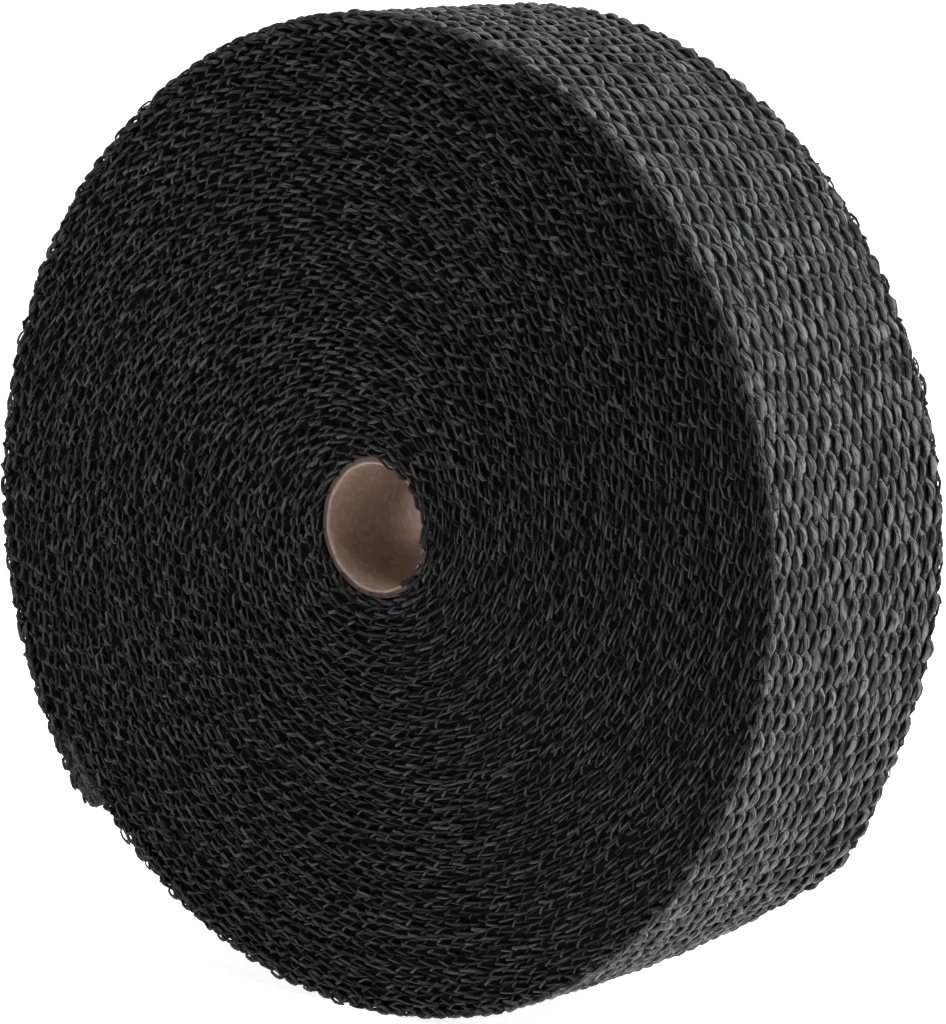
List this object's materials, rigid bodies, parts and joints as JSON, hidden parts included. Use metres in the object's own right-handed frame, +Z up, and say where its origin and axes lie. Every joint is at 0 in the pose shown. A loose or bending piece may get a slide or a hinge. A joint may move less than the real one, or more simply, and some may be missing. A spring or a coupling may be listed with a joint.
{
  "type": "exhaust heat wrap roll",
  "caption": "Roll of black woven glass fibre heat wrap tape, wound flat on a cardboard core tube and standing on its rim.",
  "frame": {"origin": "on the ground, under the middle of the roll's bounding box", "axes": "+Z up, the roll's axis along Y with its front end facing -Y, +X to the right as seen from the front"},
  "size_m": [0.1948, 0.0508, 0.1894],
  "materials": {
    "woven_glass_tape": "coarse plain weave of black glass fibre yarn with a low silky sheen",
    "core_board": "matte brown spiral-wound board with a pale cut edge"
  },
  "bodies": {
    "root": {"wrap_tape": "woven_glass_tape", "core_tube": "core_board"}
  },
  "joints": []
}
